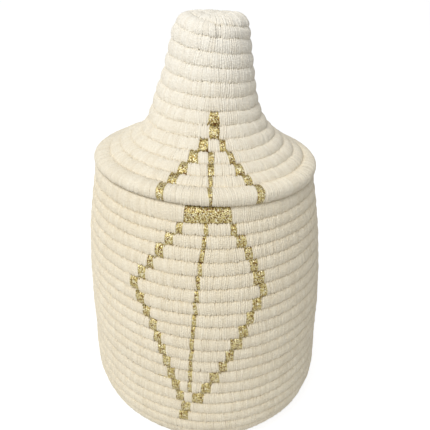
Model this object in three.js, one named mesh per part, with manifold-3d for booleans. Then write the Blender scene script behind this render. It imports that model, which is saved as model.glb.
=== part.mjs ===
// A lidded storage basket of coiled grass bound in cream yarn, with a gold yarn diamond and chevron.
// Millimetres, +Z up, front towards -Y. The origin is the middle of the base, on the surface it stands on.
//
// A long bundle of grass is wound from the middle of the base outwards and then upwards, and each round is
// sewn to the round before it. The lid is a second coil, wound from its crown down to its brim.

import * as THREE from 'three';
import { mergeVertices } from 'three/addons/utils/BufferGeometryUtils.js';
import Module from 'manifold-3d';

const wasm = await Module();
wasm.setup();

// The coil: its section across the wall, the slit between two rounds and how it climbs
const COIL_THICKNESS = 8.5;
const SEAM_THICKNESS = 5.5;
const SEAM_GAP = 0.65;
const STEPS_PER_ROUND = 20;
const CLIMB_AT_BACK = 0.7;

// The basket, with its radii measured to the middle of the coil
const BODY_HEIGHT = 221;
const BODY_ROUND_PITCH = 10;
const RIM_ROUNDS = 1;
const BELLY_RADIUS = 95.7;
const MOUTH_INSET = 14.4;
const MOUTH_RADIUS = BELLY_RADIUS - MOUTH_INSET;
const BASE_CORNER_RADIUS = 28.7;
const BASE_DISC_RADIUS = 55;
const BELLY_TOP_HEIGHT = 80;
const BELLY_BEND_LENGTH = 70;
const RIM_BEND_LENGTH = 13;
const BODY_LEAN = 9;

// The lid, with its heights measured from its seat on the rim and its radii to the middle of the coil
const LID_SEAT_GAP = 0.3;
const LID_HEIGHT = 104.5;
const LID_ROUND_PITCH = 9.5;
const LID_BRIM_ROUND = 13;
const CROWN_KNOT_RADIUS = 2;
const CROWN_RADIUS = 25.5;
const CROWN_CORNER_RADIUS = 8;
const NECK_FOOT_RADIUS = 32;
const NECK_FOOT_HEIGHT = 57.5;
const NECK_BEND_LENGTH = 24;
const CONE_BEND_LENGTH = 30;
const CONE_FOOT_INSET = 7.3;
const CONE_FOOT_RADIUS = MOUTH_RADIUS - CONE_FOOT_INSET;
const CONE_FOOT_HEIGHT = 7;
const CONE_SLOPE = THREE.MathUtils.degToRad(31.5);

// The brim's roundness: how far its two outer ridges lie from the seat and stand off the line to the cone,
// as shares of that line's length
const BRIM_UPPER_RIDGE = { along: 0.7, out: 0.3 };
const BRIM_LOWER_RIDGE = { along: 0.25, out: 0.35 };

// The locating collar sewn inside the brim
const COLLAR_CLEARANCE = 2.4;
const COLLAR_WIDTH = 7.5;
const COLLAR_DEPTH = 8;
const COLLAR_RISE = 3;
const COLLAR_ROUNDING = 1.5;

// The gold yarn: a thin layer lying on the coil, carried from one round to the next
const GOLD_THICKNESS = 0.7;
const GOLD_GAP = 0.3;
const GOLD_END_GAP = 0.04;
const GOLD_SEAM_GAP = 0.02;
const GOLD_CARRY_REACH = 0.12;
const GOLD_CARRY_INSET = 0.15;
const GOLD_CARRY_OVERLAP = 1.2;

// Each gold figure runs through a few rounds, at distances right of the front line, with even steps between
// them. The basket's rounds are counted down from the rim and the lid's rounds down from the crown.
const RIM_BAR = { rounds: [1, 1], right: [5.4, 5.4], width: 31 };
const LEFT_EDGE = { rounds: [2, 7, 10, 16], right: [-13.3, -48.8, -34.5, -16], width: 6 };
const RIGHT_EDGE = { rounds: [2, 4, 7, 13, 16], right: [22.2, 33.1, 45.2, 16.1, -2.7], width: 7 };
const CENTRE_LINE = { rounds: [2, 6, 11, 15], right: [4.2, -1.2, -6.2, -8.6], width: 3.5 };
const TIP = { rounds: [17, 18], right: [-12, -13.8], width: 7 };
const LID_TOP = { rounds: [7, 8], right: [6, 6.8], width: 7.8 };
const LID_LEFT_LEG = { rounds: [9, 13], right: [0.2, -25.7], width: 7.4 };
const LID_RIGHT_LEG = { rounds: [9, 12, 13], right: [13, 31.5, 40.7], width: 6 };
const LID_CENTRE_LINE = { rounds: [10, 13], right: [5.7, 6.4], width: 3.5 };

const CREAM_YARN = { color: 0xece4cf, roughness: 0.9, metalness: 0 };
const GOLD_YARN = { color: 0xb2a268, roughness: 0.4, metalness: 0.6 };

// Rounds gained from the front line to an angle along the coil: the maker steps up mostly at the back
const climb = (angle) => (angle - CLIMB_AT_BACK * Math.sin(angle)) / (2 * Math.PI);

// The facets of every round meet at the same stations round the axis
const STEP_ANGLE = (2 * Math.PI) / STEPS_PER_ROUND;

// A shell maps a distance along its profile, an offset out of the wall and an azimuth to a point.
// The wall's outer face lies to the right or to the left of the way that the profile runs.
const RIGHT_SIDE = 1;
const LEFT_SIDE = -1;
const makeShell = (profile, outerSide, shiftAt) => {
  const length = profile.getLength();
  return (distance, offset, azimuth) => {
    const share = distance / length;
    const middle = profile.getPoint(share);
    const along = profile.getTangent(share);
    const outward = new THREE.Vector2(along.y, -along.x).multiplyScalar(outerSide);
    const place = middle.addScaledVector(outward, offset);
    return onAxis(place, azimuth, shiftAt(place.y));
  };
};

// A radius and height turned to an azimuth, counted from the front towards the right
const onAxis = (place, azimuth, shift = 0) =>
  new THREE.Vector3(place.x * Math.sin(azimuth) + shift, -place.x * Math.cos(azimuth), place.y);

// The point at any azimuth on the flat facet between its two neighbouring stations
const onFacet = (pointAt, azimuth) => {
  const steps = azimuth / STEP_ANGLE;
  const before = Math.floor(steps + 1e-9);
  const from = pointAt(before * STEP_ANGLE);
  return from.lerp(pointAt((before + 1) * STEP_ANGLE), Math.max(steps - before, 0));
};

// The basket's profile: flat base, rounded corner, upright belly and a wall drawn in to a level mouth
const bodyProfile = new THREE.Path();
const baseFlatRadius = BELLY_RADIUS - BASE_CORNER_RADIUS;
const baseCornerHeight = COIL_THICKNESS / 2 + BASE_CORNER_RADIUS;
bodyProfile.moveTo(0, COIL_THICKNESS / 2);
bodyProfile.lineTo(baseFlatRadius, COIL_THICKNESS / 2);
bodyProfile.absarc(baseFlatRadius, baseCornerHeight, BASE_CORNER_RADIUS, -Math.PI / 2, 0, false);
bodyProfile.lineTo(BELLY_RADIUS, BELLY_TOP_HEIGHT);
bodyProfile.bezierCurveTo(
  BELLY_RADIUS, BELLY_TOP_HEIGHT + BELLY_BEND_LENGTH,
  MOUTH_RADIUS, BODY_HEIGHT - RIM_BEND_LENGTH,
  MOUTH_RADIUS, BODY_HEIGHT,
);
const rimStation = bodyProfile.getLength();

// The sewn wall leans: each round sits a little further to the left than the round below it
const leanAt = (height) => {
  const share = (height - COIL_THICKNESS) / (BODY_HEIGHT - COIL_THICKNESS);
  return -BODY_LEAN * THREE.MathUtils.clamp(share, 0, 1);
};
const bodyShell = makeShell(bodyProfile, RIGHT_SIDE, leanAt);

// The lid's profile: flat crown, rounded edge, tapering neck and a cone that flares to the brim
const lidProfile = new THREE.Path();
const crownHeight = LID_HEIGHT - COIL_THICKNESS / 2;
const crownFlatRadius = CROWN_RADIUS - CROWN_CORNER_RADIUS;
const neckTopHeight = crownHeight - CROWN_CORNER_RADIUS;
const neckTaper = Math.atan2(NECK_FOOT_RADIUS - CROWN_RADIUS, neckTopHeight - NECK_FOOT_HEIGHT);
const coneDirection = new THREE.Vector2(Math.cos(CONE_SLOPE), -Math.sin(CONE_SLOPE));
lidProfile.moveTo(0, crownHeight);
lidProfile.lineTo(crownFlatRadius, crownHeight);
lidProfile.absarc(crownFlatRadius, neckTopHeight, CROWN_CORNER_RADIUS, Math.PI / 2, neckTaper, true);
lidProfile.lineTo(NECK_FOOT_RADIUS, NECK_FOOT_HEIGHT);
lidProfile.bezierCurveTo(
  NECK_FOOT_RADIUS + NECK_BEND_LENGTH * Math.sin(neckTaper),
  NECK_FOOT_HEIGHT - NECK_BEND_LENGTH * Math.cos(neckTaper),
  CONE_FOOT_RADIUS - CONE_BEND_LENGTH * coneDirection.x,
  CONE_FOOT_HEIGHT - CONE_BEND_LENGTH * coneDirection.y,
  CONE_FOOT_RADIUS, CONE_FOOT_HEIGHT,
);
const coneFootStation = lidProfile.getLength();
lidProfile.lineTo(
  CONE_FOOT_RADIUS + LID_ROUND_PITCH * coneDirection.x,
  CONE_FOOT_HEIGHT + LID_ROUND_PITCH * coneDirection.y,
);
const lidShell = makeShell(lidProfile, LEFT_SIDE, () => 0);

// A closed solid through a row of outlines. Points j and n-1-j of an outline lie across from each other.
const sweep = (outlines, closed = false) => {
  const size = outlines[0].length;
  const index = [];
  const quad = (a, b, c, d) => index.push(a, b, c, a, c, d);
  const links = closed ? outlines.length : outlines.length - 1;
  for (let i = 0; i < links; i += 1) {
    const here = i * size;
    const next = ((i + 1) % outlines.length) * size;
    for (let j = 0; j < size; j += 1) {
      const k = (j + 1) % size;
      quad(here + j, here + k, next + k, next + j);
    }
  }
  if (!closed) {
    const last = (outlines.length - 1) * size;
    for (let j = 0; j < size / 2 - 1; j += 1) {
      quad(j, size - 1 - j, size - 2 - j, j + 1);
      quad(last + j, last + j + 1, last + size - 2 - j, last + size - 1 - j);
    }
  }
  const geometry = new THREE.BufferGeometry();
  const corners = outlines.flat().flatMap((corner) => corner.toArray());
  geometry.setAttribute('position', new THREE.Float32BufferAttribute(corners, 3));
  geometry.setIndex(index);
  return geometry;
};

// The coil's section between two seams: six corners, flat at the seams and ridged inside and outside
const coilSection = (shell, upper, lower, azimuth) => {
  const middle = (upper + lower) / 2;
  return [
    shell(upper, SEAM_THICKNESS / 2, azimuth),
    shell(middle, COIL_THICKNESS / 2, azimuth),
    shell(lower, SEAM_THICKNESS / 2, azimuth),
    shell(lower, -SEAM_THICKNESS / 2, azimuth),
    shell(middle, -COIL_THICKNESS / 2, azimuth),
    shell(upper, -SEAM_THICKNESS / 2, azimuth),
  ];
};

// The least distance between points of one coil that lie a round apart, taken at corners and edge middles
const leastGap = (outlines) => {
  const points = outlines.map((outline) =>
    outline.flatMap((corner, j) => [corner, corner.clone().lerp(outline[(j + 1) % outline.length], 0.5)]));
  let least = Infinity;
  points.forEach((here, i) => {
    const nextRound = points.slice(i + STEPS_PER_ROUND - 1, i + STEPS_PER_ROUND + 2).flat();
    here.forEach((p) => nextRound.forEach((q) => {
      least = Math.min(least, p.distanceTo(q));
    }));
  });
  return least;
};

// Whole steps from a coil's end at the back to its start, where the disc inside it reaches a least radius
const stepsOutside = (discEdge, leastRadius) => {
  let steps = 0;
  while (discEdge(Math.PI - (steps + 1) * STEP_ANGLE) >= leastRadius) steps += 1;
  return steps;
};

// The basket's coil climbs clockwise seen from above and ends at the back, half a round below the rim
const bodySeam = (round, azimuth) => {
  const levelled = Math.min(round / RIM_ROUNDS, 1);
  return rimStation - BODY_ROUND_PITCH * (round - levelled * climb(-azimuth));
};
const wallMiddle = (angle) => rimStation - BODY_ROUND_PITCH * (RIM_ROUNDS + 0.5 - climb(angle));
const halfWallRound = (BODY_ROUND_PITCH - SEAM_GAP) / 2;
const baseEdge = (angle) => wallMiddle(angle) - halfWallRound - SEAM_GAP;
const wallSteps = stepsOutside(baseEdge, BASE_DISC_RADIUS);
const wallStartAngle = Math.PI - wallSteps * STEP_ANGLE;
const wallOutlines = Array.from({ length: wallSteps + 1 }, (_, i) => {
  const angle = wallStartAngle + i * STEP_ANGLE;
  const middle = wallMiddle(angle);
  return coilSection(bodyShell, middle + halfWallRound, middle - halfWallRound, -angle);
});
const wallCoil = sweep([...wallOutlines].reverse());

// The last round is evened out: its underside follows the wall coil and its top is level
const ringAzimuths = (buttEnd) => {
  const azimuths = Array.from({ length: STEPS_PER_ROUND + 1 }, (_, i) => -Math.PI + i * STEP_ANGLE);
  const slit = SEAM_GAP / MOUTH_RADIUS;
  azimuths[buttEnd < 0 ? 0 : STEPS_PER_ROUND] -= Math.sign(buttEnd) * slit;
  return azimuths;
};
const facetOutline = (outlineAt, azimuth) =>
  outlineAt(azimuth).map((_, j) => onFacet((station) => outlineAt(station)[j], azimuth));
const rimSection = (azimuth) =>
  coilSection(bodyShell, rimStation, bodySeam(RIM_ROUNDS, azimuth) + SEAM_GAP / 2, azimuth);
const rimCoil = sweep(ringAzimuths(1).map((azimuth) => facetOutline(rimSection, azimuth)));

// A coil starts from a flat disc whose edge follows the inside of the coil's first round
const startDisc = (innerEdge, startAngle, direction, slit) => {
  const shape = new THREE.Shape();
  for (let i = 0; i <= STEPS_PER_ROUND; i += 1) {
    const angle = startAngle + i * STEP_ANGLE - (i === STEPS_PER_ROUND ? slit : 0);
    const edgeAt = (azimuth) => {
      const turns = Math.round((angle - direction * azimuth) / (2 * Math.PI));
      return onAxis(new THREE.Vector2(innerEdge(direction * azimuth + 2 * Math.PI * turns), 0), azimuth);
    };
    const edge = onFacet(edgeAt, direction * angle);
    if (i === 0) shape.moveTo(edge.x, edge.y);
    else shape.lineTo(edge.x, edge.y);
  }
  return new THREE.ExtrudeGeometry(shape, { depth: COIL_THICKNESS, bevelEnabled: false });
};
const baseCoil = startDisc(baseEdge, wallStartAngle, -1, SEAM_GAP / baseEdge(wallStartAngle));

// The lid's coil winds down from the crown and ends at the back, where the brim takes over
const lidSeam = (round, azimuth) =>
  coneFootStation + LID_ROUND_PITCH * (round - (LID_BRIM_ROUND - 1) + climb(azimuth));
const lidMiddle = (angle) => coneFootStation + LID_ROUND_PITCH * (climb(angle) - 0.5);
const halfLidRound = (LID_ROUND_PITCH - SEAM_GAP) / 2;
const knotEdge = (angle) => lidMiddle(angle) - halfLidRound - SEAM_GAP;
const lidSteps = stepsOutside(knotEdge, CROWN_KNOT_RADIUS);
const lidStartAngle = Math.PI - lidSteps * STEP_ANGLE;
const lidOutlines = Array.from({ length: lidSteps + 1 }, (_, i) => {
  const angle = lidStartAngle + i * STEP_ANGLE;
  const middle = lidMiddle(angle);
  return coilSection(lidShell, middle - halfLidRound, middle + halfLidRound, angle);
});
const lidCoil = sweep(lidOutlines);
const knotOuterEdge = knotEdge(lidStartAngle + 2 * Math.PI);
const crownKnot = startDisc(knotEdge, lidStartAngle, 1, SEAM_GAP / knotOuterEdge);
crownKnot.translate(0, 0, LID_HEIGHT - COIL_THICKNESS);

// The brim is one fat round roll: level where it sits on the rim, and following the cone's last seam above
const brimOutside = (azimuth, start, lift) => {
  const top = lidShell(start, SEAM_THICKNESS / 2, azimuth);
  const topPlace = new THREE.Vector2(Math.hypot(top.x, top.y), top.z);
  const seat = new THREE.Vector2(MOUTH_RADIUS + SEAM_THICKNESS / 2, 0);
  const chord = topPlace.clone().sub(seat);
  const outward = new THREE.Vector2(chord.y, -chord.x).normalize();
  const ridge = ({ along, out }) => {
    const place = seat.clone().lerp(topPlace, along).addScaledVector(outward, out * chord.length() + lift);
    return onAxis(place, azimuth);
  };
  return [
    lidShell(start, SEAM_THICKNESS / 2 + lift, azimuth),
    ridge(BRIM_UPPER_RIDGE),
    ridge(BRIM_LOWER_RIDGE),
    onAxis(new THREE.Vector2(seat.x + lift, seat.y), azimuth),
  ];
};
const brimSection = (azimuth) => {
  const start = lidSeam(LID_BRIM_ROUND - 1, azimuth) + SEAM_GAP / 2;
  const innerTop = lidShell(start, -SEAM_THICKNESS / 2, azimuth);
  const innerSeat = onAxis(new THREE.Vector2(MOUTH_RADIUS - SEAM_THICKNESS / 2, 0), azimuth);
  const inside = [0, 1 / 3, 2 / 3, 1].map((share) => innerSeat.clone().lerp(innerTop, share));
  return [...brimOutside(azimuth, start, 0), ...inside];
};
const brimCoil = sweep(ringAzimuths(-1).map((azimuth) => facetOutline(brimSection, azimuth)));

// The collar is one closed round under the brim, a sliding fit in the mouth
const collarOuter = MOUTH_RADIUS - COIL_THICKNESS / 2 - COLLAR_CLEARANCE;
const collarInner = collarOuter - COLLAR_WIDTH;
const collarOutline = [
  [collarOuter - COLLAR_ROUNDING, COLLAR_RISE],
  [collarOuter, COLLAR_RISE - COLLAR_ROUNDING],
  [collarOuter, -COLLAR_DEPTH + COLLAR_ROUNDING],
  [collarOuter - COLLAR_ROUNDING, -COLLAR_DEPTH],
  [collarInner + COLLAR_ROUNDING, -COLLAR_DEPTH],
  [collarInner, -COLLAR_DEPTH + COLLAR_ROUNDING],
  [collarInner, COLLAR_RISE - COLLAR_ROUNDING],
  [collarInner + COLLAR_ROUNDING, COLLAR_RISE],
];
const collar = sweep(Array.from({ length: STEPS_PER_ROUND }, (_, i) =>
  collarOutline.map(([radius, height]) => onAxis(new THREE.Vector2(radius, height), i * STEP_ANGLE))), true);

// Height of the coil's outer face over its middle line: lowest at the seams, highest between them
const ridgeOffset = (round) => {
  const ridge = 1 - Math.abs(2 * (round - Math.floor(round)) - 1);
  return (SEAM_THICKNESS + (COIL_THICKNESS - SEAM_THICKNESS) * ridge) / 2;
};
const bodySurface = (round, azimuth, lift) =>
  bodyShell(bodySeam(round, azimuth), ridgeOffset(round) + lift, azimuth);
const lidSurface = (round, azimuth, lift) => {
  const brimTop = LID_BRIM_ROUND - 1;
  if (round <= brimTop) {
    return lidShell(lidSeam(round, azimuth), ridgeOffset(round) + lift, azimuth);
  }
  const corners = brimOutside(azimuth, lidSeam(brimTop, azimuth), lift);
  const share = Math.min((round - brimTop) * (corners.length - 1), corners.length - 1);
  const before = Math.min(Math.floor(share), corners.length - 2);
  return corners[before].clone().lerp(corners[before + 1], share - before);
};

// Two ends and the places between them where the coil's surface has an edge, every so often
const edgesBetween = (from, to, spacing) => {
  const places = [from];
  for (let i = Math.floor(from / spacing + 1e-6) + 1; i * spacing < to - 1e-6; i += 1) {
    places.push(i * spacing);
  }
  return [...places, to];
};

// A coil round has one ridge outside and the brim has two
const ridgesBetween = (surface, from, to) => {
  const brimTop = surface === lidSurface ? LID_BRIM_ROUND - 1 : Infinity;
  const onCoil = from < brimTop ? edgesBetween(from, Math.min(to, brimTop), 1 / 2) : [];
  const onBrim = to > brimTop ? edgesBetween(Math.max(from, brimTop), to, 1 / 3) : [];
  return [...new Set([...onCoil, ...onBrim])];
};

// A thin plate of yarn over part of the coil, from one round number to another and between two azimuths
const yarnPlate = (surface, fromRound, toRound, fromAzimuth, toAzimuth, inset = 0) => {
  const rounds = ridgesBetween(surface, fromRound, toRound);
  const azimuths = edgesBetween(fromAzimuth, toAzimuth, STEP_ANGLE);
  const layer = (lift, azimuth) => rounds.map((round) =>
    onFacet((station) => surface(round, station, lift), azimuth));
  return sweep(azimuths.map((azimuth) =>
    [...layer(GOLD_GAP + GOLD_THICKNESS - inset, azimuth), ...layer(GOLD_GAP + inset, azimuth).reverse()]));
};

const toManifold = (geometry) => {
  const bare = geometry.clone();
  bare.deleteAttribute('normal');
  bare.deleteAttribute('uv');
  const merged = mergeVertices(bare, 1e-5);
  return new wasm.Manifold(new wasm.Mesh({
    numProp: 3,
    vertProperties: new Float32Array(merged.attributes.position.array),
    triVerts: new Uint32Array(merged.index.array),
  }));
};
const fromManifold = (solid) => {
  const mesh = solid.getMesh();
  const geometry = new THREE.BufferGeometry();
  geometry.setAttribute('position', new THREE.BufferAttribute(mesh.vertProperties, 3));
  geometry.setIndex(new THREE.BufferAttribute(mesh.triVerts, 1));
  return geometry;
};

// A figure's patches, one on each round that it crosses, with its place along the listed lines
const patchesOf = (figure, surface) => {
  const { rounds, right: places, width } = figure;
  const first = rounds[0];
  const last = rounds[rounds.length - 1];
  return Array.from({ length: last - first + 1 }, (_, i) => {
    const round = first + i;
    const leg = Math.max(rounds.findIndex((place) => place >= round), 1);
    const share = last > first ? (round - rounds[leg - 1]) / (rounds[leg] - rounds[leg - 1]) : 0;
    const radius = Math.abs(surface(round - 0.5, 0, 0).y);
    const middle = THREE.MathUtils.lerp(places[leg - 1], places[leg], share) / radius;
    const reach = width / 2 / radius;
    return { round, radius, left: middle - reach, right: middle + reach };
  });
};

// A figure is one strand: its patches, and the short carries that take the yarn across each seam
const goldStrand = (figure, surface) => {
  const patches = patchesOf(figure, surface);
  const plates = patches.map((patch, i) => {
    const top = patch.round - 1 + (i === 0 ? GOLD_END_GAP : GOLD_SEAM_GAP);
    const bottom = patch.round - (i === patches.length - 1 ? GOLD_END_GAP : GOLD_SEAM_GAP);
    return yarnPlate(surface, top, bottom, patch.left, patch.right);
  });
  patches.slice(1).forEach((patch, i) => {
    const above = patches[i];
    const left = Math.max(above.left, patch.left);
    const right = Math.min(above.right, patch.right);
    const overlap = GOLD_CARRY_OVERLAP / patch.radius;
    const shared = (right - left) / 2 - GOLD_CARRY_INSET / patch.radius;
    const reach = right > left ? Math.max(shared, overlap) : (left - right) / 2 + overlap;
    const middle = (left + right) / 2;
    plates.push(yarnPlate(surface, above.round - GOLD_CARRY_REACH, above.round + GOLD_CARRY_REACH,
      middle - reach, middle + reach, GOLD_CARRY_INSET));
  });
  return fromManifold(plates.map(toManifold).reduce((whole, plate) => whole.add(plate)));
};

const piece = (name, geometry, finish) => {
  const mesh = new THREE.Mesh(geometry, new THREE.MeshStandardMaterial(finish));
  mesh.name = name;
  return mesh;
};

const body = new THREE.Group();
body.add(
  piece('base_coil', baseCoil, CREAM_YARN),
  piece('wall_coil', wallCoil, CREAM_YARN),
  piece('rim_coil', rimCoil, CREAM_YARN),
  piece('gold_rim_bar', goldStrand(RIM_BAR, bodySurface), GOLD_YARN),
  piece('gold_diamond_left', goldStrand(LEFT_EDGE, bodySurface), GOLD_YARN),
  piece('gold_diamond_right', goldStrand(RIGHT_EDGE, bodySurface), GOLD_YARN),
  piece('gold_diamond_centre', goldStrand(CENTRE_LINE, bodySurface), GOLD_YARN),
  piece('gold_diamond_tip', goldStrand(TIP, bodySurface), GOLD_YARN),
);

const lid = new THREE.Group();
lid.position.set(-BODY_LEAN, 0, BODY_HEIGHT + LID_SEAT_GAP);
lid.add(
  piece('lid_crown_knot', crownKnot, CREAM_YARN),
  piece('lid_coil', lidCoil, CREAM_YARN),
  piece('lid_brim_coil', brimCoil, CREAM_YARN),
  piece('lid_collar', collar, CREAM_YARN),
  piece('lid_gold_top', goldStrand(LID_TOP, lidSurface), GOLD_YARN),
  piece('lid_gold_left_leg', goldStrand(LID_LEFT_LEG, lidSurface), GOLD_YARN),
  piece('lid_gold_right_leg', goldStrand(LID_RIGHT_LEG, lidSurface), GOLD_YARN),
  piece('lid_gold_centre', goldStrand(LID_CENTRE_LINE, lidSurface), GOLD_YARN),
);

console.log(`rounds wound: wall ${wallSteps / STEPS_PER_ROUND}, lid ${lidSteps / STEPS_PER_ROUND}`);
console.log(`least gap of the wall coil to itself: ${leastGap(wallOutlines).toFixed(2)} mm`);
console.log(`least gap of the lid coil to itself: ${leastGap(lidOutlines).toFixed(2)} mm`);

const basket = new THREE.Group();
basket.add(body, lid);

export default basket;
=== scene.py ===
import math

import bpy
import numpy as np
from mathutils import Matrix, Vector


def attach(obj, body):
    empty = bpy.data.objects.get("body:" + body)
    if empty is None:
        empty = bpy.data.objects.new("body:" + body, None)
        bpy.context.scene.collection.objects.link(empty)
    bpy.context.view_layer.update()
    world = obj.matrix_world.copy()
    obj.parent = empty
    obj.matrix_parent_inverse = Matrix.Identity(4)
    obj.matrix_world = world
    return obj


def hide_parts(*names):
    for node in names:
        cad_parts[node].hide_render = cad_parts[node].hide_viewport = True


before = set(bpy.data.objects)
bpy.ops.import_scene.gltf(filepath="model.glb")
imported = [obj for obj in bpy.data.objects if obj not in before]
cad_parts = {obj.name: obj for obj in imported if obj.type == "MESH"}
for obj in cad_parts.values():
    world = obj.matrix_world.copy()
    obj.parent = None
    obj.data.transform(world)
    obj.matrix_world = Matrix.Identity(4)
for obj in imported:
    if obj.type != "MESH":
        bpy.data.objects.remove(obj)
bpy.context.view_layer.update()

# The yarn. The basket is bound in matt cotton yarn, loosely twisted from soft plies. Every wrap of it
# takes the light a little differently, and down in the seams, where the rounds are sewn together, its
# colour is painted darker and warmer: partly dirt, and partly painted shade.

# Each pair of colours is for the basket's foot and for the crown; the crown's are paler and less yellow,
# which is painted light from above. Heights are in metres.
DEEP_CREAM = ((0.80, 0.71, 0.535, 1), (0.88, 0.82, 0.705, 1))
PALE_CREAM = ((0.93, 0.86, 0.70, 1), (0.97, 0.94, 0.855, 1))
PAINTED_LIGHT_BETWEEN_HEIGHTS = (0.20, 0.31)
# The seams' tan is partly dirt and partly painted shade, less of it on the lid than on the body.
SEAM_DIRT_AND_SHADE_TAN = (0.60, 0.49, 0.31, 1)
SEAM_DIRT_AND_SHADE_ON_LID = 0.25
SEAM_DIRT_AND_SHADE_MORE_ON_BODY = 0.55
LID_BETWEEN_HEIGHTS = (0.20, 0.26)
# Brown in the stitch holes is painted shade.
PAINTED_HOLE_SHADE = (0.16, 0.11, 0.06, 1)
PATCH_TONE = 0.35
WRAP_TONE = 0.45
FIBRE_TONE = 0.4
FLUFF_TONE = 1.2
TONE_RANGE = (0.7, 1.65)
PLY_HEIGHT = 0.3
FIBRES_IN_PLY = 5.0
TUFTS_ALONG = 1.5
TUFTS_APART = 3.7


def new_material(name):
    """An empty node material: its tree, and the socket of its output that takes the shader."""
    material = bpy.data.materials.new(name)
    material.use_nodes = True
    tree = material.node_tree
    tree.nodes.clear()
    return material, tree, tree.nodes.new("ShaderNodeOutputMaterial").inputs["Surface"]


def add(tree, kind, settings=None, **inputs):
    """One node with its settings and inputs. An input is given by its name, with _ for a space, or as _
    and its number. A socket is linked to it, and any other value is set on it."""
    node = tree.nodes.new(kind)
    for key, value in (settings or {}).items():
        setattr(node, key, value)
    for key, value in inputs.items():
        socket = node.inputs[int(key[1:]) if key[0] == "_" else key.replace("_", " ")]
        if isinstance(value, bpy.types.NodeSocket):
            tree.links.new(value, socket)
        else:
            socket.default_value = value
    return node


def maths(tree, operation, *values):
    """One Math node on up to three values or sockets."""
    inputs = {f"_{place}": value for place, value in enumerate(values)}
    return add(tree, "ShaderNodeMath", {"operation": operation}, **inputs).outputs[0]


def ramp_between(tree, value, low, high):
    """A value turned into a share that runs from 0 at one level to 1 at another."""
    return add(tree, "ShaderNodeMapRange", _0=value, _1=low, _2=high).outputs[0]


def mix_colour(tree, share, first, second):
    """Two colours mixed by a share."""
    return add(tree, "ShaderNodeMix", {"data_type": "RGBA"}, _0=share, _6=first, _7=second).outputs[2]


def noise(tree, place, **settings):
    """A Noise texture's value at a place."""
    return add(tree, "ShaderNodeTexNoise", Vector=place, **settings).outputs["Fac"]


# The groove masks where the yarns' colour is darkened: dirt and painted shade in the seams, painted shade in
# the stitch holes.
def seam_dirt_and_shade_mask(tree):
    """The groove attribute of the mesh: 0 on a round's face, 0.5 in a seam and 1 in a stitch hole."""
    return add(tree, "ShaderNodeAttribute", {"attribute_name": "groove"}).outputs["Fac"]


def bound_yarn_group():
    """What both yarns share, from the wrap number and the distance round the coil that the UV map holds:
    a random tone for each wrap, and a height. The height is a sine for the twisted plies, plus a noise
    drawn out along them for the fibres, plus a soft noise that starts anew in each wrap for the fluff."""
    group = bpy.data.node_groups.new("bound yarn", "ShaderNodeTree")
    for name in ("Plies", "Hairiness", "Fluff"):
        group.interface.new_socket(name, in_out="INPUT", socket_type="NodeSocketFloat")
    for name in ("Wrap tone", "Fibre tone", "Fluff tone", "Height"):
        group.interface.new_socket(name, in_out="OUTPUT", socket_type="NodeSocketFloat")
    given = group.nodes.new("NodeGroupInput").outputs
    uv = add(group, "ShaderNodeUVMap", {"uv_map": "wraps"}).outputs[0]
    across, along, _ = add(group, "ShaderNodeSeparateXYZ", Vector=uv).outputs
    wrap = maths(group, "FLOOR", across)
    tone = add(group, "ShaderNodeTexWhiteNoise", {"noise_dimensions": "1D"}, W=wrap).outputs["Value"]
    twisted = maths(group, "MULTIPLY_ADD", across, given["Plies"], along)
    ply = maths(group, "SINE", maths(group, "MULTIPLY", twisted, 2 * math.pi))
    strands = maths(group, "MULTIPLY", twisted, FIBRES_IN_PLY)
    place = add(group, "ShaderNodeCombineXYZ", X=strands, Y=along, Z=wrap).outputs[0]
    fibre = noise(group, place, Scale=1.0, Detail=3.0, Roughness=0.65)
    hairs = maths(group, "MULTIPLY", fibre, given["Hairiness"])
    height = maths(group, "MULTIPLY_ADD", ply, PLY_HEIGHT, hairs)
    length = maths(group, "MULTIPLY", along, TUFTS_ALONG)
    apart = maths(group, "MULTIPLY", wrap, TUFTS_APART)
    tuft = add(group, "ShaderNodeCombineXYZ", X=across, Y=length, Z=apart).outputs[0]
    fluff = noise(group, tuft, Scale=1.0, Detail=1.0)
    height = maths(group, "MULTIPLY_ADD", fluff, given["Fluff"], height)
    results = {"Wrap tone": tone, "Fibre tone": fibre, "Fluff tone": fluff, "Height": height}
    output = group.nodes.new("NodeGroupOutput")
    for name, value in results.items():
        group.links.new(value, output.inputs[name])
    return group


BOUND_YARN = bound_yarn_group()


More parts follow.
